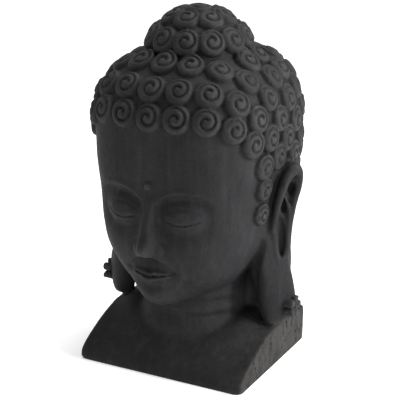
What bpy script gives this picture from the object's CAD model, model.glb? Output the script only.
"""A cast stone buddha head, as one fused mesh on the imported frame.

The casting is described as one distance field in millimetres: the head with its face, the
topknot, the ears and their studs, the neck and the block, with the curls raised on it. The
field is turned into one closed mesh on a fine grid, weathered, thinned to its triangle budget
and given a procedural stone material.
"""
import math

import bpy
import numpy as np
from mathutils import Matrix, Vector


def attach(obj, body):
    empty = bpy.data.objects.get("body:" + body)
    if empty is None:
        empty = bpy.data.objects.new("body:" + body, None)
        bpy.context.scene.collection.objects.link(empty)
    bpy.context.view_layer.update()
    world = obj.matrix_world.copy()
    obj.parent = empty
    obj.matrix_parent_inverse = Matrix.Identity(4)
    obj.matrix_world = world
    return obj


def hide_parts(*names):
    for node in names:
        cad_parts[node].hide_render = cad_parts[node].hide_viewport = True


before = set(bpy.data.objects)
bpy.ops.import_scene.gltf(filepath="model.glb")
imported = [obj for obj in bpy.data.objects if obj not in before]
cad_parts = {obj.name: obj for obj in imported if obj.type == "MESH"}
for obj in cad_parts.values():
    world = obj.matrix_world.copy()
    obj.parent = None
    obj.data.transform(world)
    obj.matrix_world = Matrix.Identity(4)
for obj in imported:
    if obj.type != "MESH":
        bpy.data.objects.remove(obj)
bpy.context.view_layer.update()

# ------------------------------------------------------------------ sizes, in millimetres
# The field is sampled on coarse cells first, and on fine ones where the surface passes.
CELL = 1.25
COARSE = 5.0
GRID_START = (-165.0, -165.0, -5.0)
GRID_CELLS = (66, 68, 103)
FAR, JUST_INSIDE = 50.0, -0.1
MOST_TRIANGLES = 196000

CURL_RADIUS = 20.3
CURL_HEIGHT = 9.5
CURL_SPACING = 38.5
GROOVE_DEPTH, GROOVE_WIDTH = 4.2, 1.6
# The groove starts near the rim and moves in by this share of the radius on each turn.
GROOVE_START, GROOVE_PITCH = 0.80, 0.46
GROOVE_ANGLE, GROOVE_ANGLE_SPREAD = 2.8, 0.35
CURL_RADIUS_SPREAD = 0.03

BASE_WIDTH, BASE_FRONT, BASE_BACK = 261.0, 115.0, 107.0
BASE_CORNER = 12.0
SHOULDER, SLOPE_START = 53.0, -10.0
SLOPE_POWER, SLOPE_EDGE_POWER = 1.25, 0.6
FRONT_EDGE = 2
FLARE, FLARE_LENGTH = 22.0, 30.0
TOP_EDGE_ROUND, FOOT_EDGE_ROUND = 11, 9
NECK_Y, NECK_RADIUS, NECK_FOOT = 5.0, 76.0, 86.0
NECK_TOP, NECK_BOTTOM = 170, 10

TOPKNOT = dict(middle=(0, 14, 438), half=(70, 72, 58), power=2.0)
SKULL = dict(middle=(0, 13, 334), half=(127, 142, 113), power=2.75)
NAPE = dict(middle=(0, 46, 240), half=(106, 98, 110), power=2.2)
FACE = dict(middle=(0, -8, 232), half=(117, 122, 130), power=2.5)
CHIN = dict(middle=(0, -90, 136), half=(32, 32, 30), power=2.0)
NAPE_BLOCK = dict(middle=(0, 62, 114), half=(119, 42, 113), power=3.0)
JAW_TAPER = 0.12
# How wide the soft join is where each part meets the rest.
BLEND = dict(
    topknot=24, face=34, chin=50, nape=50, neck=14, nape_block=32, block=10, ear=8, stud=1.0,
)

# The face by equal thirds: hairline to brow, brow to nose, nose to chin.
HAIRLINE_Z, CHIN_Z = 358.0, 104.0
THIRD = (HAIRLINE_Z - CHIN_Z) / 3
BROW_Z = HAIRLINE_Z - THIRD
NOSE_Z = BROW_Z - THIRD
MOUTH_Z = NOSE_Z - THIRD / 3
EYE_Z = BROW_Z - THIRD / 3.2
EYE_X = 2 * FACE["half"][0] / 5

# Rows of curls are rings about an axis that leans back: polar angle, dip at the temple, and
# the first curl's distance from the middle.
CROWN = np.array([0.0, 20.0, 290.0])
CROWN_LEAN = 45.0
CURL_ROWS = [
    (103.5, 6, 0),
    (91.5, 5, -5),
    (77, 4, -7),
    (62, 4, 8),
    (46.5, 0, 0),
    (31, 0, 10),
    (15.5, 0, 0),
    (0, 0, 0),
]
SIDEBURN = [(73, 306, 19), (75, 273, 18), (75, 236, 17)]
TOPKNOT_ROWS = [(68, 12, 12), (35, 7, 0), (3, 1, 0)]

# The ears stand out in a plane turned from straight back. Their shapes are drawn flat: first
# number out along the ear from its root, second number up, third out of its front face.
EAR_TURN = math.radians(40)
EAR_ROOT = (115.0, -14.0)
EAR_OUTLINE = [
    (-28, 282), (20, 290), (38, 299), (53, 296), (58, 281), (56, 262), (47, 230), (42, 195),
    (41, 160), (47, 128), (51, 100), (46, 76), (34, 64), (18, 60), (4, 70), (-3, 100),
    (-4, 146), (0, 190), (-28, 226),
]
# The rolled edges are tubes: their points carry a fourth number, the tube's radius.
HELIX = [
    (12, 206, 1, 5), (15, 230, 4, 5.5), (20, 255, 6, 6), (29, 278, 5, 7.5), (42, 289, 2, 8.5),
    (51, 282, -1, 7), (52, 262, -3, 5.5), (44, 232, -3, 5), (39, 198, -2, 4.5), (38, 168, -2, 4),
]
ANTIHELIX = [
    (29, 254, -1, 1.8), (34, 243, -1, 2.6), (37, 230, -1, 3.2), (37, 205, -1, 3), (35, 172, -1, 3),
    (28, 158, -2.5, 3.5), (20, 165, -2.5, 4), (17, 188, -2, 4), (14, 205, -1, 4.5),
]
HOLLOW_DEPTH = 9.5
# Hollows of the ear: middle out along it, middle up it, half width, half height and lean.
HOLLOWS = [(42, 259, 6, 11, 0.15), (31, 236, 4.5, 11, 0.1), (26.5, 192, 7, 33, -0.09)]
EAR_ROOT_MASS = dict(middle=(12, -26, 190), half=(22, 24, 100), power=2.2)
EAR_HALF_THICKNESS, EAR_EDGE_ROUND = 6.5, 5.0
# The lobe swells by this much on each side of the ear's plane, within this far of its edge.
LOBE_SWELL, LOBE_RIM = 11.0, 22
STUD = (151.2, 12.0, 90.0)
STUD_RADIUS, STUD_BALL, PETALS = 16.5, 3.8, 5


# ------------------------------------------------------------------ field helpers
def step(a, b, v):
    t = np.clip((v - a) / (b - a), 0, 1)
    return t * t * (3 - 2 * t)


def bell(v, width):
    return np.exp(-((v / width) ** 2))


def dome(u, v, sharp=1.0):
    return np.maximum(0, 1 - u**2 - v**2) ** sharp


def smin(a, b, k):
    """The lesser of two fields, rounded where they cross."""
    h = np.maximum(k - np.abs(a - b), 0) / k
    return np.minimum(a, b) - h**3 * k / 6


def smax(a, b, k):
    return -smin(-a, -b, k)


def superellipsoid(e, x, y, z):
    (cx, cy, cz), (a, b, c), n = e["middle"], e["half"], e["power"]
    qx, qy, qz = x - cx, y - cy, z - cz
    total = np.abs(qx / a) ** n + np.abs(qy / b) ** n + np.abs(qz / c) ** n
    near = np.maximum(total, 1e-9) ** (1 / n)
    return np.sqrt(qx**2 + qy**2 + qz**2) * (near - 1) / near


def spline(points, steps):
    """Catmull-Rom points through the given ones, open at both ends."""
    p = np.array(points, float)
    p = np.vstack([2 * p[0] - p[1], p, 2 * p[-1] - p[-2]])
    t = np.linspace(0, 1, steps, endpoint=False)[:, None]
    out = []
    for i in range(1, len(p) - 2):
        a, b, c, d = p[i - 1], p[i], p[i + 1], p[i + 2]
        out.append(
            0.5 * (2 * b + (c - a) * t + (2 * a - 5 * b + 4 * c - d) * t**2
                   + (3 * b - a - 3 * c + d) * t**3)
        )
    return np.vstack(out + [p[-2]])


def tube(points, s, t, z):
    """Distance from a tube along the points (given as s, z, t and radius)."""
    best = np.full(s.shape, 1e3, s.dtype)
    for a, b in zip(points[:-1], points[1:]):
        d = b - a
        k = ((s - a[0]) * d[0] + (z - a[1]) * d[1] + (t - a[2]) * d[2]) / (d[:3] @ d[:3])
        k = np.clip(k, 0, 1)
        gap = (s - a[0] - k * d[0]) ** 2 + (z - a[1] - k * d[1]) ** 2 + (t - a[2] - k * d[2]) ** 2
        best = np.minimum(best, np.sqrt(gap) - a[3] - k * d[3])
    return best


# ------------------------------------------------------------------ face
def nose(ax, z):
    """Height of the nose over the face, for a distance ax from the middle plane."""
    top, tip = BROW_Z + 2, NOSE_Z + 10
    along = np.clip((top - z) / (top - tip), 0, 1)
    ridge = (5.5 + 17.5 * along**1.3) * step(BROW_Z + 22, BROW_Z - 16, z)
    width = 8.0 + 3.5 * along**1.5
    body = ridge / (1 + (ax / width) ** 4) ** 0.5
    flank = 0.55 * ridge * bell(ax, width + 7)
    shape = smax(body, flank, 3)
    ball = 5.0 * bell(ax, 9.5) * bell(z - NOSE_Z - 12, 11)
    around = np.hypot((ax - 14) / 10.5, (z - NOSE_Z - 9) / 12.5)
    wing = 10.0 * np.maximum(0, 1 - around**2) ** 0.7
    crease = -1.6 * bell(around - 1.1, 0.14) * step(12, 18, ax) * step(NOSE_Z - 2, NOSE_Z + 8, z)
    nostril = -6 * bell(ax - 8.5, 4.5) * bell(z - NOSE_Z - 0.5, 3.0)
    under = step(NOSE_Z - 4.5, NOSE_Z + 5.5, z + 0.018 * ax**2 - 2.2 * bell(ax, 5))
    return smax(shape + ball, wing + 0.25 * shape, 4) * under + crease + nostril


def eye(ax, z):
    """Socket, brow edge, ball and closed lids."""
    arch = BROW_Z + 7 - 0.0100 * (ax - 50) ** 2
    inner = step(5, 19, ax)
    sunk = step(arch + 3.0, arch - 9, z) * step(EYE_Z - 46, EYE_Z - 8, z)
    socket = -6.5 * sunk * inner * step(EYE_X + 48, EYE_X + 20, ax)
    rim = 1.2 * bell(z - arch - 2.5, 4.5) * inner * step(EYE_X + 42, EYE_X + 22, ax)
    ball = 10.0 * dome((ax - EYE_X) / 34, (z - EYE_Z + 1) / 24, 1.15)
    t = (ax - EYE_X) / 24.5
    lid = EYE_Z - 9.5 + 5.0 * t**2 + 1.0 * t
    on = step(1.15, 0.86, np.abs(t))
    lash = 1.1 * step(lid - 0.6, lid + 1.0, z) * bell(z - lid, 6.5) * on
    slit = -1.7 * bell(z - lid, 1.15) * on
    lower_edge = 0.7 * bell(z - lid + 3.4, 2.4) * on
    fold = EYE_Z + 11.5 - 6.5 * t**2
    crease = -0.8 * bell(z - fold, 1.9) * step(1.3, 0.85, np.abs(t))
    return socket + rim + ball + lash + slit + lower_edge + crease


def mouth(ax, z):
    """Lips that meet in a curved line, the groove over them, and the chin."""
    t = ax / 31.0
    full = np.clip(1 - t**2, 0, 1)
    line = MOUTH_Z + 2.6 * t**2 - 1.3 * bell(ax, 6)
    muzzle = 6.0 * bell(ax, 38) * bell(z - MOUTH_Z, 26)
    top = line + 8.6 * full**0.75 + 1.0 * bell(ax - 7.5, 5) - 1.6 * bell(ax, 3.6)
    low = line - 11.0 * full**0.6
    up = np.clip((z - line) / np.maximum(top - line, 0.5), 0, 1)
    down = np.clip((line - z) / np.maximum(line - low, 0.5), 0, 1)
    upper = 4.4 * full**0.6 * (1 - up**2.2) ** 0.7 * (z > line)
    belly = np.clip(np.abs(2 * down - 0.80), 0, 1)
    lower = 5.2 * full**0.6 * (1 - belly**2) ** 0.7 * (z <= line)
    lips = upper * step(top + 1.5, top - 1.2, z) + lower * step(low - 1.5, low + 1.2, z)
    slit = -2.3 * bell(z - line, 1.2) * step(1.1, 0.9, np.abs(t))
    corner = -2.0 * bell(ax - 33, 5) * bell(z - line - 0.5, 5)
    between = step(NOSE_Z - 1, NOSE_Z - 9, z) * step(top - 1, top + 5, z)
    philtrum = (0.6 * bell(ax - 6.4, 2.8) - 1.1 * bell(ax, 3.6)) * between
    dent = -3.0 * bell(ax, 24) * bell(z - (line - 17.5), 6.5)
    chin = 6.0 * bell(ax, 22) * bell(z - CHIN_Z - 20, 15)
    return muzzle + lips + slit + corner + philtrum + dent + chin


def face_relief(x, z):
    """How far the face stands out towards -Y."""
    ax = np.abs(x)
    cheek = 3.0 * bell(ax - 60, 30) * bell(z - (EYE_Z - 46), 30)
    mark = 4.0 * np.sqrt(np.maximum(0, 1 - (ax**2 + (z - BROW_Z - 14) ** 2) / 6.2**2))
    return nose(ax, z) + eye(ax, z) + mouth(ax, z) + mark + cheek


# ------------------------------------------------------------------ head
def skull_field(x, y, z):
    front = step(-10, -50, y)
    fy = y + front * face_relief(x, z)
    narrow = 1 - JAW_TAPER * step(250, 95, z)
    f = superellipsoid(SKULL, x, fy, z)
    f = smin(f, superellipsoid(FACE, x / narrow, fy, z), BLEND["face"])
    f = smin(f, superellipsoid(CHIN, x, fy, z), BLEND["chin"])
    return smin(f, superellipsoid(NAPE, x, y, z), BLEND["nape"])


def head_field(x, y, z):
    return smin(skull_field(x, y, z), superellipsoid(TOPKNOT, x, y, z), BLEND["topknot"])


def surface_along(field, origin, directions):
    """Where rays from inside the head leave it."""
    inside = np.zeros(len(directions))
    outside = np.full(len(directions), 330.0)
    for _ in range(26):
        r = (inside + outside) / 2
        p = origin + directions * r[:, None]
        low = field(p[:, 0], p[:, 1], p[:, 2]) < 0
        inside = np.where(low, r, inside)
        outside = np.where(low, outside, r)
    return origin + directions * inside[:, None]


def normals_of(field, p, e=2.0):
    g = np.empty_like(p)
    for i in range(3):
        d = np.zeros(3)
        d[i] = e
        a, b = p + d, p - d
        g[:, i] = field(a[:, 0], a[:, 1], a[:, 2]) - field(b[:, 0], b[:, 1], b[:, 2])
    return g / np.linalg.norm(g, axis=1, keepdims=True)


# ------------------------------------------------------------------ curls
def ring_directions(lean, polar, turns):
    p = np.radians(polar) * np.ones_like(turns)
    t = np.radians(turns)
    x, y, z = np.sin(p) * np.sin(t), -np.sin(p) * np.cos(t), np.cos(p)
    c, s = math.cos(math.radians(lean)), math.sin(math.radians(lean))
    return np.stack([x, c * y + s * z, c * z - s * y], 1)


def row_places(polar, bulge, first):
    """Middles of one row of curls, evenly spaced along its ring on the head."""
    turns = np.linspace(0, 360, 721)
    front = np.cos(np.radians(turns)) > 0
    dip = bulge * front * np.sin(np.radians(2 * turns)) ** 2
    line = surface_along(skull_field, CROWN, ring_directions(CROWN_LEAN, polar - dip, turns))
    along = np.concatenate([[0], np.cumsum(np.linalg.norm(np.diff(line, axis=0), axis=1))])
    length = along[-1]
    count = round(length / CURL_SPACING)
    if count < 2:
        return line[:1]
    wanted = (np.arange(count) / count * length + first) % length
    return np.stack([np.interp(wanted, along, line[:, i]) for i in range(3)], 1)


def curl_places():
    """Each curl's middle on the head, and its radius."""
    places = []
    for row in CURL_ROWS:
        for p in row_places(*row):
            clear_of_knot = superellipsoid(TOPKNOT, *p) > 0.15 * CURL_RADIUS
            clear_of_ear = p[2] > 320 or p[1] > 35 or p[1] + p[2] > 300
            if clear_of_knot and clear_of_ear:
                places.append((p, CURL_RADIUS))
    for turn, z, radius in SIDEBURN:
        for side in (1, -1):
            rays = ring_directions(0, 90, np.array([side * turn], float))
            middle = np.array([0.0, 0.0, z])
            places.append((surface_along(skull_field, middle, rays)[0], radius))
    knot = np.array(TOPKNOT["middle"], float)
    for polar, count, turn in TOPKNOT_ROWS:
        rays = ring_directions(0, polar, turn + np.arange(count) / count * 360)
        for p in surface_along(head_field, knot, rays):
            places.append((p, CURL_RADIUS))
    return places


def curl_height(r, angle, radius, start):
    """A snail shell seen from above: one fat coil that winds clockwise in to a raised middle."""
    reach = r / radius
    edge = np.maximum(0, 1 - reach**6) ** 0.5
    body = edge * (0.86 + 0.14 * (1 - reach**2))
    turn = ((start - angle) / (2 * np.pi)) % 1
    groove = np.zeros_like(r)
    for winding in (turn, turn + 1):
        line = radius * (GROOVE_START - GROOVE_PITCH * winding)
        fade = step(0.0, 0.12, winding) * step(1.48, 1.30, winding)
        groove = np.maximum(groove, fade * np.exp(-np.abs(r - line) / GROOVE_WIDTH))
    return CURL_HEIGHT * body - GROOVE_DEPTH * groove * edge - 3.0 * step(0.97, 1.12, reach)


# ------------------------------------------------------------------ block and neck
def block_top(x, y):
    """Height of the block's upper face: level behind, falling away in front, up to the neck."""
    away = np.maximum(0, np.hypot(x, y - NECK_Y) - NECK_FOOT)
    flare = FLARE * bell(away, FLARE_LENGTH)
    t = np.clip((SLOPE_START - y) / (SLOPE_START + BASE_FRONT), 0, 1)
    fall = (1 - t**SLOPE_POWER) ** SLOPE_EDGE_POWER
    return FRONT_EDGE + (SHOULDER + flare - FRONT_EDGE) * fall


def block_field(x, y, z):
    e = 1.0
    top = block_top(x, y)
    sx = (block_top(x + e, y) - top) / e
    sy = (block_top(x, y + e) - top) / e
    upper = (z - top) / np.sqrt(1 + sx**2 + np.minimum(sy**2, 9))
    over_x = np.abs(x) - BASE_WIDTH / 2 + BASE_CORNER
    over_y = np.maximum(-y - BASE_FRONT, y - BASE_BACK) + BASE_CORNER
    walls = np.minimum(np.maximum(over_x, over_y), 0) - BASE_CORNER
    walls = walls + np.hypot(np.maximum(over_x, 0), np.maximum(over_y, 0))
    return smax(smax(upper, walls, TOP_EDGE_ROUND), -z, FOOT_EDGE_ROUND)


def neck_field(x, y, z):
    """An upright column with two soft folds in front, closed at both ends."""
    folds = 3.0 * bell(z - 90, 8) + 2.4 * bell(z - 110, 7)
    folds = folds - 1.2 * bell(z - 100.5, 2.5) - 1.0 * bell(z - 79, 3)
    folds = folds * step(10, -45, y)
    foot = (NECK_FOOT - NECK_RADIUS - 4) * step(80, 56, z)
    column = (np.hypot(x, y - NECK_Y) - (NECK_RADIUS + folds + foot)) * 0.95
    return smax(smax(column, z - NECK_TOP, 4), NECK_BOTTOM - z, 4)


# ------------------------------------------------------------------ ears
def outline_grid():
    """Signed distance from the ear's smoothed outline, on a grid of s and z."""
    loop = EAR_OUTLINE + EAR_OUTLINE[:3]
    p = spline(loop, 5)[5:]
    p = p[: 5 * len(EAR_OUTLINE)]
    s, z = np.meshgrid(np.arange(-60, 90.0), np.arange(30, 330.0), indexing="ij")
    best = np.full(s.shape, 1e9)
    inside = np.zeros(s.shape, bool)
    for a, b in zip(p, np.roll(p, -1, axis=0)):
        d = b - a
        k = np.clip(((s - a[0]) * d[0] + (z - a[1]) * d[1]) / (d @ d), 0, 1)
        best = np.minimum(best, np.hypot(s - a[0] - k * d[0], z - a[1] - k * d[1]))
        crosses = (a[1] > z) != (b[1] > z)
        at = a[0] + (z - a[1]) * (b[0] - a[0]) / (b[1] - a[1] + 1e-12)
        inside ^= crosses & (s < at)
    return np.where(inside, -best, best).astype(np.float32)


OUTLINE = outline_grid()
HELIX_PATH = spline(HELIX, 4)
ANTIHELIX_PATH = spline(ANTIHELIX, 4)


def outline_distance(s, z):
    u = np.clip(s + 60, 0, OUTLINE.shape[0] - 1.01)
    v = np.clip(z - 30, 0, OUTLINE.shape[1] - 1.01)
    i, j = u.astype(int), v.astype(int)
    fu, fv = u - i, v - j
    low = OUTLINE[i, j] * (1 - fu) + OUTLINE[i + 1, j] * fu
    high = OUTLINE[i, j + 1] * (1 - fu) + OUTLINE[i + 1, j + 1] * fu
    return low * (1 - fv) + high * fv


def ear_field(x, y, z):
    """Both ears, mirrored: a blade cut to the outline, hollowed, with rolled edges and a lobe."""
    dx, dy = np.abs(x) - EAR_ROOT[0], y - EAR_ROOT[1]
    c, n = math.cos(EAR_TURN), math.sin(EAR_TURN)
    s, t = n * dx + c * dy, c * dx - n * dy
    flat = outline_distance(s, z)
    lobe = step(165, 110, z)
    depth = np.clip(-flat, 0, LOBE_RIM) / LOBE_RIM
    half = EAR_HALF_THICKNESS + LOBE_SWELL * lobe * np.sqrt(1 - (1 - depth) ** 2)
    face = np.abs(t + EAR_HALF_THICKNESS) - half
    r = EAR_EDGE_ROUND
    a, b = flat + r, face + r
    blade = np.minimum(np.maximum(a, b), 0) + np.hypot(np.maximum(a, 0), np.maximum(b, 0)) - r
    blade = blade * (1 - 0.25 * lobe)
    scoop = np.sqrt(((s - 34) / 12) ** 2 + ((z - 250) / 36) ** 2 + ((t - 3) / 7) ** 2)
    blade = smax(blade, (1 - scoop) * 7, 4)
    for middle, up, across, tall, lean in HOLLOWS:
        q = s - middle - lean * (z - up)
        hollow = np.sqrt((q / across) ** 2 + ((z - up) / tall) ** 2 + ((t - 1) / HOLLOW_DEPTH) ** 2)
        blade = smax(blade, (1 - hollow) * across, 2.5)
    blade = smin(blade, tube(ANTIHELIX_PATH, s, t, z), 3)
    blade = smin(blade, tube(HELIX_PATH, s, t, z), 6)
    root = superellipsoid(EAR_ROOT_MASS, s, t, z)
    return smin(blade, root, 10)


def stud_field(x, y, z):
    """A flower of PETALS round petals about a small ball, rooted in the lobe."""
    dx, dy, dz = np.abs(x) - STUD[0], y - STUD[1], z - STUD[2]
    r = np.hypot(dy, dz)
    angle = np.arctan2(dz, dy)
    petal = np.abs(np.cos(PETALS / 2 * angle))
    edge = STUD_RADIUS * (0.58 + 0.42 * petal**0.5)
    half = 1.2 + 3.4 * petal**0.7 * step(0.1, 0.6, r / STUD_RADIUS)
    rosette = smax((r - edge) * 0.8, np.abs(dx + 3) - half - 3, 2)
    middle = np.sqrt((dx - 1.2) ** 2 + dy**2 + dz**2) - STUD_BALL
    return smin(rosette, middle, 1.0)


# ------------------------------------------------------------------ the whole casting
def smooth_casting(x, y, z):
    """The casting without its curls."""
    f = head_field(x, y, z)
    f = smin(f, neck_field(x, y, z), BLEND["neck"])
    f = smin(f, superellipsoid(NAPE_BLOCK, x, y, z), BLEND["nape_block"])
    f = smin(f, block_field(x, y, z), BLEND["block"])
    near = (np.abs(x) > 70) & (np.abs(y) < 75) & (z > 45) & (z < 320)
    if near.any():
        xs, ys, zs = x[near], y[near], z[near]
        g = smin(f[near], ear_field(xs, ys, zs), BLEND["ear"])
        f[near] = smin(g, stud_field(xs, ys, zs), BLEND["stud"])
    return f


def in_chunks(field, points, size=400000):
    out = np.empty(len(points), np.float32)
    for i in range(0, len(points), size):
        p = points[i:i + size]
        out[i:i + size] = field(p[:, 0], p[:, 1], p[:, 2])
    return out


def sample_field():
    """The field on a fine grid, exact near the surface and only a sign elsewhere."""
    fold = round(COARSE / CELL)
    low = np.array(GRID_START)
    cells = np.array(GRID_CELLS)
    axes = [low[i] + COARSE * np.arange(cells[i] + 1) for i in range(3)]
    grid = np.stack(np.meshgrid(*axes, indexing="ij"), -1).reshape(-1, 3)
    coarse = in_chunks(smooth_casting, grid).reshape(cells + 1)
    near = np.abs(coarse) < 2.6 * COARSE
    solid = coarse < 0
    corners = [
        solid[i:i + cells[0], j:j + cells[1], k:k + cells[2]]
        for i in (0, 1) for j in (0, 1) for k in (0, 1)
    ]
    some = np.logical_or.reduce(corners)
    every = np.logical_and.reduce(corners)
    active = some & ~every
    reach = np.logical_or.reduce([
        near[i:i + cells[0], j:j + cells[1], k:k + cells[2]]
        for i in (0, 1) for j in (0, 1) for k in (0, 1)
    ])
    grown = np.pad(active, 2)
    wide = np.zeros_like(active)
    for i in range(5):
        for j in range(5):
            for k in range(5):
                wide |= grown[i:i + cells[0], j:j + cells[1], k:k + cells[2]]
    active = wide & reach
    fine = np.where(solid, -FAR, FAR).astype(np.float32)
    fine = fine[:-1, :-1, :-1].repeat(fold, 0).repeat(fold, 1).repeat(fold, 2)
    fine = np.pad(fine, ((0, 1), (0, 1), (0, 1)), constant_values=FAR)
    wanted = np.zeros(fine.shape, bool)
    ci, cj, ck = np.nonzero(active)
    for i in range(fold + 1):
        for j in range(fold + 1):
            for k in range(fold + 1):
                wanted[ci * fold + i, cj * fold + j, ck * fold + k] = True
    index = np.nonzero(wanted)
    points = (np.stack(index, 1) * CELL + low).astype(np.float32)
    fine[index] = in_chunks(smooth_casting, points)
    return fine, low


def add_curls(field, low):
    """Raises each curl out of the smooth casting, in a small box of the grid about it."""
    base = field.copy()
    places = curl_places()
    middles = np.array([p for p, _ in places])
    normals = normals_of(head_field, middles)
    rng = np.random.default_rng(7)
    for (p, radius), n in zip(places, normals):
        radius = radius * (1 + CURL_RADIUS_SPREAD * rng.uniform(-1, 1))
        across = np.cross([0, 0, 1.0], n)
        across /= np.linalg.norm(across)
        up = np.cross(n, across)
        start = GROOVE_ANGLE + GROOVE_ANGLE_SPREAD * rng.uniform(-1, 1)
        reach = radius + 14
        a = np.maximum(np.floor((p - reach - low) / CELL).astype(int), 0)
        b = np.minimum(np.ceil((p + reach - low) / CELL).astype(int) + 1, field.shape)
        where = tuple(slice(i, j) for i, j in zip(a, b))
        axes = [low[i] + CELL * np.arange(a[i], b[i]) - p[i] for i in range(3)]
        qx, qy, qz = np.meshgrid(*axes, indexing="ij")
        up_off = qx * n[0] + qy * n[1] + qz * n[2]
        u = qx * across[0] + qy * across[1] + qz * across[2]
        v = qx * up[0] + qy * up[1] + qz * up[2]
        r = np.hypot(u, v)
        height = curl_height(r, np.arctan2(v, u), radius, start)
        here = base[where]
        usable = (r < 1.1 * radius) & (np.abs(up_off) < 14) & (np.abs(here) < 40)
        if ear_field(*p) < reach:  # beside the ear the curl follows the head alone
            here = here.copy()
            here[usable] = head_field(*(q[usable] + c for q, c in zip((qx, qy, qz), p)))
        raised = np.where(usable, (here - height) * 0.8, FAR)
        field[where] = smin(field[where], raised.astype(np.float32), 0.8)
    return field


def fill_pinches(field):
    """Fills grid points where the stone would touch itself only along an edge."""
    halves = (slice(None, -1), slice(1, None))
    for _ in range(4):
        for a, b in ((0, 1), (1, 2), (0, 2)):
            solid = field < 0
            corner = {}
            for i in (0, 1):
                for j in (0, 1):
                    where = [slice(None)] * 3
                    where[a], where[b] = halves[i], halves[j]
                    corner[i, j] = tuple(where)
            for i in (0, 1):
                pair = solid[corner[0, i]] & solid[corner[1, 1 - i]]
                pinched = pair & ~solid[corner[0, 1 - i]] & ~solid[corner[1, i]]
                field[corner[0, 1 - i]][pinched] = JUST_INSIDE
    return field


def surface_net(f, low):
    """Vertices where the field changes sign inside a cell, and a quad for each crossed edge."""
    solid = f < 0
    shape = np.array(f.shape) - 1
    total = np.zeros(shape, np.uint8)
    for i in (0, 1):
        for j in (0, 1):
            for k in (0, 1):
                total += solid[i:i + shape[0], j:j + shape[1], k:k + shape[2]]
    cells = np.stack(np.nonzero((total > 0) & (total < 8)), 1)
    number = np.full(shape, -1, np.int32)
    number[tuple(cells.T)] = np.arange(len(cells))
    centre = np.zeros((len(cells), 3))
    hits = np.zeros(len(cells))
    for axis in range(3):
        others = [a for a in range(3) if a != axis]
        for i in (0, 1):
            for j in (0, 1):
                start = cells.copy()
                start[:, others[0]] += i
                start[:, others[1]] += j
                end = start.copy()
                end[:, axis] += 1
                a = f[tuple(start.T)].astype(float)
                b = f[tuple(end.T)].astype(float)
                cross = (a < 0) != (b < 0)
                t = np.where(cross, a / np.where(cross, a - b, 1), 0)
                p = start.astype(float)
                p[:, axis] += t
                centre += np.where(cross[:, None], p, 0)
                hits += cross
    vertices = low + CELL * centre / hits[:, None]
    quads = []
    for axis in range(3):
        o1, o2 = [(1, 2), (2, 0), (0, 1)][axis]
        a = [slice(1, -1)] * 3
        b = [slice(1, -1)] * 3
        a[axis] = slice(0, -1)
        b[axis] = slice(1, None)
        sa, sb = solid[tuple(a)], solid[tuple(b)]
        for outward in (True, False):
            found = (sa & ~sb) if outward else (~sa & sb)
            e = np.stack(np.nonzero(found), 1) + 1
            e[:, axis] -= 1
            ring = []
            for d1, d2 in ((0, 0), (-1, 0), (-1, -1), (0, -1)):
                c = e.copy()
                c[:, o1] += d1
                c[:, o2] += d2
                ring.append(number[tuple(c.T)])
            if not outward:
                ring = ring[::-1]
            quads.append(np.stack(ring, 1))
    return vertices, np.vstack(quads)


def without_crumbs(vertices, quads):
    """Keeps only the faces that hang together with the casting."""
    label = np.arange(len(vertices))
    while True:
        lower = label.copy()
        np.minimum.at(lower, quads.ravel(), np.repeat(label[quads].min(axis=1), 4))
        lower = lower[lower]
        if np.array_equal(lower, label):
            break
        label = lower
    quads = quads[label[quads[:, 0]] == np.bincount(label).argmax()]
    kept, quads = np.unique(quads, return_inverse=True)
    return vertices[kept], quads.reshape(-1, 4)


# ------------------------------------------------------------------ weathering
def value_noise(p, size, seed):
    """Smooth noise between -1 and 1 that changes over `size` millimetres."""
    rng = np.random.default_rng(seed)
    table = rng.uniform(-1, 1, 4096).astype(np.float32)
    q = p / size
    i = np.floor(q).astype(np.int64)
    t = (q - i).astype(np.float32)
    t = t * t * (3 - 2 * t)
    out = np.zeros(len(p), np.float32)
    for a in (0, 1):
        for b in (0, 1):
            for c in (0, 1):
                key = ((i[:, 0] + a) * 73856093) ^ ((i[:, 1] + b) * 19349663)
                key ^= (i[:, 2] + c) * 83492791
                weight = (t[:, 0] if a else 1 - t[:, 0]) * (t[:, 1] if b else 1 - t[:, 1])
                weight = weight * (t[:, 2] if c else 1 - t[:, 2])
                out += weight * table[key & 4095]
    return out


def vertex_normals(v, quads):
    face = np.cross(v[quads[:, 2]] - v[quads[:, 0]], v[quads[:, 3]] - v[quads[:, 1]])
    n = np.zeros_like(v)
    for i in range(4):
        for k in range(3):
            n[:, k] += np.bincount(quads[:, i], face[:, k], len(v))
    return n / np.maximum(np.linalg.norm(n, axis=1, keepdims=True), 1e-9)


def rough_wall(v, n):
    """1 on the side and rear walls of the block, and 0 elsewhere."""
    upright = np.maximum(np.abs(n[:, 0]), n[:, 1])
    return step(62, 50, v[:, 2]) * step(0.65, 0.9, upright)


def weather(v, quads):
    """Wears the surface inwards: soft unevenness all over, rough cast side walls with pits."""
    n = vertex_normals(v, quads)
    wall = rough_wall(v, n)
    uneven = 0.35 * (1 + value_noise(v, 23, 1))
    grain = 0.10 * (1 + value_noise(v, 3.0, 2))
    rough = wall * (0.8 * (1 + value_noise(v, 11, 3)) + 0.5 * (1 + value_noise(v, 4, 4)))
    pits = step(0.50, 0.80, value_noise(v, 5.5, 5)) * (0.35 + 1.9 * wall)
    depth = uneven + grain + rough + pits
    standing = v[:, 2] < 1.0
    depth = np.where(standing, 0, depth)
    out = v - n * depth[:, None]
    out[standing, 2] = 0
    return out


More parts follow.
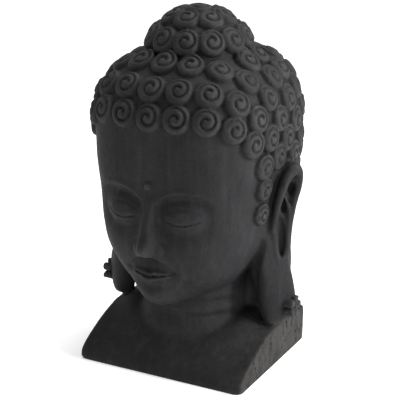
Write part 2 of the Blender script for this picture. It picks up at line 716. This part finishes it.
def casting_mesh():
    """The weathered surface, in metres and in quads."""
    field, low = sample_field()
    field = fill_pinches(add_curls(field, low))
    vertices, quads = without_crumbs(*surface_net(field, low))
    vertices = weather(vertices, quads) / 1000
    mesh = bpy.data.meshes.new("buddha_head_stone")
    mesh.vertices.add(len(vertices))
    mesh.vertices.foreach_set("co", vertices.astype(np.float32).ravel())
    mesh.loops.add(quads.size)
    mesh.loops.foreach_set("vertex_index", quads.astype(np.int32).ravel())
    mesh.polygons.add(len(quads))
    mesh.polygons.foreach_set("loop_start", np.arange(0, quads.size, 4, dtype=np.int32))
    mesh.update(calc_edges=True)
    mesh.validate()
    return mesh


def thinned(mesh, most):
    """The mesh with no more than `most` triangles, fewest where it is plain."""
    ob = bpy.data.objects.new("buddha_head_stone", mesh)
    bpy.context.scene.collection.objects.link(ob)
    now = 2 * len(mesh.polygons)
    if now > most:
        cut = ob.modifiers.new("thin", "DECIMATE")
        cut.ratio = most / now
        done = ob.evaluated_get(bpy.context.evaluated_depsgraph_get())
        smaller = bpy.data.meshes.new_from_object(done)
        ob.modifiers.clear()
        ob.data = smaller
    ob.data.polygons.foreach_set("use_smooth", [True] * len(ob.data.polygons))
    return ob


def mark_walls(ob):
    """Stores where the rough walls are, for the material."""
    v = np.empty(len(ob.data.vertices) * 3)
    n = np.empty(len(ob.data.vertices) * 3)
    ob.data.vertices.foreach_get("co", v)
    ob.data.vertices.foreach_get("normal", n)
    wall = ob.data.attributes.new("wall", "FLOAT", "POINT")
    wall.data.foreach_set("value", rough_wall(v.reshape(-1, 3) * 1000, n.reshape(-1, 3)))


# ------------------------------------------------------------------ stone
def stone_material():
    mat = bpy.data.materials.new("charcoal_stone")
    mat.use_nodes = True
    nodes, links = mat.node_tree.nodes, mat.node_tree.links
    nodes.clear()

    out = nodes.new("ShaderNodeOutputMaterial")
    stone = nodes.new("ShaderNodeBsdfPrincipled")
    links.new(stone.outputs["BSDF"], out.inputs["Surface"])
    place = nodes.new("ShaderNodeTexCoord")

    def noise(scale, detail, rough, stretch=(1, 1, 1)):
        mapping = nodes.new("ShaderNodeMapping")
        mapping.inputs["Scale"].default_value = stretch
        links.new(place.outputs["Object"], mapping.inputs["Vector"])
        node = nodes.new("ShaderNodeTexNoise")
        node.inputs["Scale"].default_value = scale
        node.inputs["Detail"].default_value = detail
        node.inputs["Roughness"].default_value = rough
        links.new(mapping.outputs["Vector"], node.inputs["Vector"])
        return node.outputs["Fac"]

    def ramp(value, stops):
        node = nodes.new("ShaderNodeValToRGB")
        node.color_ramp.elements[0].position = stops[0][0]
        node.color_ramp.elements[0].color = (*stops[0][1], 1)
        node.color_ramp.elements[1].position = stops[-1][0]
        node.color_ramp.elements[1].color = (*stops[-1][1], 1)
        for where, colour in stops[1:-1]:
            node.color_ramp.elements.new(where).color = (*colour, 1)
        links.new(value, node.inputs["Fac"])
        return node.outputs["Color"]

    def mix(kind, factor, a, b):
        node = nodes.new("ShaderNodeMix")
        node.data_type = "RGBA"
        node.blend_type = kind
        if isinstance(factor, (int, float)):
            node.inputs[0].default_value = factor
        else:
            links.new(factor, node.inputs[0])
        for socket, value in ((node.inputs[6], a), (node.inputs[7], b)):
            if isinstance(value, tuple):
                socket.default_value = (*value, 1)
            else:
                links.new(value, socket)
        return node.outputs[2]

    def grey(v):
        return (v, v, v)

    dark, pale = (0.0130, 0.0130, 0.0146), (0.0212, 0.0207, 0.0215)
    clouds = ramp(noise(14, 5, 0.6), [(0.32, dark), (0.68, pale)])
    streaks = ramp(
        noise(85, 5, 0.65, (1, 1, 0.10)),
        [(0.40, grey(0.80)), (0.55, grey(1.0)), (0.70, grey(1.32))],
    )
    speckle = ramp(noise(420, 3, 0.7), [(0.35, grey(0.82)), (0.65, grey(1.18))])
    colour = mix("MULTIPLY", 1.0, clouds, streaks)
    colour = mix("MULTIPLY", 1.0, colour, speckle)
    cast = ramp(
        noise(110, 5, 0.7, (1, 1, 0.4)),
        [(0.33, (0.013, 0.012, 0.012)), (0.56, (0.030, 0.028, 0.0262))],
    )
    wall = nodes.new("ShaderNodeAttribute")
    wall.attribute_name = "wall"
    colour = mix("MIX", wall.outputs["Fac"], colour, cast)
    shape = nodes.new("ShaderNodeNewGeometry")
    worn = ramp(shape.outputs["Pointiness"], [(0.511, grey(0.0)), (0.57, grey(1.0))])
    patch = ramp(noise(35, 4, 0.6), [(0.40, grey(0.10)), (0.66, grey(1.0))])
    wear = mix("MULTIPLY", 1.0, worn, patch)
    rubbed = (0.066, 0.060, 0.054)
    colour = mix("MIX", wear, colour, rubbed)
    deep = ramp(shape.outputs["Pointiness"], [(0.42, grey(0.28)), (0.492, grey(1.0))])
    colour = mix("MULTIPLY", 1.0, colour, deep)
    links.new(colour, stone.inputs["Base Color"])

    rough = nodes.new("ShaderNodeMapRange")
    links.new(noise(90, 4, 0.6), rough.inputs["Value"])
    rough.inputs["To Min"].default_value = 0.55
    rough.inputs["To Max"].default_value = 0.80
    links.new(rough.outputs["Result"], stone.inputs["Roughness"])
    stone.inputs["Specular IOR Level"].default_value = 0.15

    bump = None
    for scale, detail, strength, distance in ((260, 5, 0.35, 0.0012), (900, 3, 0.25, 0.0005)):
        node = nodes.new("ShaderNodeBump")
        node.inputs["Strength"].default_value = strength
        node.inputs["Distance"].default_value = distance
        links.new(noise(scale, detail, 0.65), node.inputs["Height"])
        if bump:
            links.new(bump.outputs["Normal"], node.inputs["Normal"])
        bump = node
    links.new(bump.outputs["Normal"], stone.inputs["Normal"])
    return mat


# ------------------------------------------------------------------ room, in metres
FLOOR_REACH, FLOOR_GLOW = 6.0, 0.35
ROOM_LIGHT = 0.62
CAMERA_TARGET = (0.0082, 0, 0.2283)
CAMERA_AZIMUTH, CAMERA_ELEVATION, CAMERA_DISTANCE = 27.8, 19.3, 1.904
CAMERA_LENS = 121.5


def floor_and_light():
    r = FLOOR_REACH
    mesh = bpy.data.meshes.new("floor")
    mesh.from_pydata([(-r, -r, 0), (r, -r, 0), (r, r, 0), (-r, r, 0)], [], [(0, 1, 2, 3)])
    floor = bpy.data.objects.new("floor", mesh)
    bpy.context.scene.collection.objects.link(floor)
    mat = bpy.data.materials.new("pale_floor")
    mat.use_nodes = True
    bsdf = mat.node_tree.nodes["Principled BSDF"]
    bsdf.inputs["Base Color"].default_value = (0.93, 0.93, 0.93, 1)
    bsdf.inputs["Emission Color"].default_value = (1, 1, 1, 1)
    bsdf.inputs["Emission Strength"].default_value = FLOOR_GLOW
    bsdf.inputs["Roughness"].default_value = 0.9
    mesh.materials.append(mat)

    world = bpy.data.worlds.new("studio")
    world.use_nodes = True
    background = world.node_tree.nodes["Background"]
    background.inputs["Color"].default_value = (1, 1, 1, 1)
    background.inputs["Strength"].default_value = ROOM_LIGHT
    bpy.context.scene.world = world

    def area(name, place, aim, width, power):
        light = bpy.data.lights.new(name, "AREA")
        light.energy = power
        light.shape = "RECTANGLE"
        light.size = width
        light.size_y = width
        ob = bpy.data.objects.new(name, light)
        ob.location = place
        ob.rotation_euler = (Vector(aim) - Vector(place)).to_track_quat("-Z", "Y").to_euler()
        bpy.context.scene.collection.objects.link(ob)

    area("side_softbox", place=(1.98, 0.45, 0.97), aim=(0, 0, 0.25), width=0.8, power=58)
    area("top_softbox", place=(0.3, 0.6, 2.2), aim=(0, 0, 0.3), width=1.4, power=34)
    bpy.context.scene.view_settings.view_transform = "Standard"


def camera():
    azimuth, elevation = math.radians(CAMERA_AZIMUTH), math.radians(CAMERA_ELEVATION)
    back = Vector((
        math.sin(azimuth) * math.cos(elevation),
        -math.cos(azimuth) * math.cos(elevation),
        math.sin(elevation),
    ))
    data = bpy.data.cameras.new("camera")
    data.lens = CAMERA_LENS
    data.sensor_width = 36
    ob = bpy.data.objects.new("camera", data)
    ob.location = Vector(CAMERA_TARGET) + back * CAMERA_DISTANCE
    ob.rotation_euler = (-back).to_track_quat("-Z", "Y").to_euler()
    bpy.context.scene.collection.objects.link(ob)
    bpy.context.scene.camera = ob


camera()
floor_and_light()
head = thinned(casting_mesh(), MOST_TRIANGLES)
mark_walls(head)
head.data.materials.append(stone_material())
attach(head, "root")
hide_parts("buddha_head")
print("triangles", sum(len(p.vertices) - 2 for p in head.data.polygons))
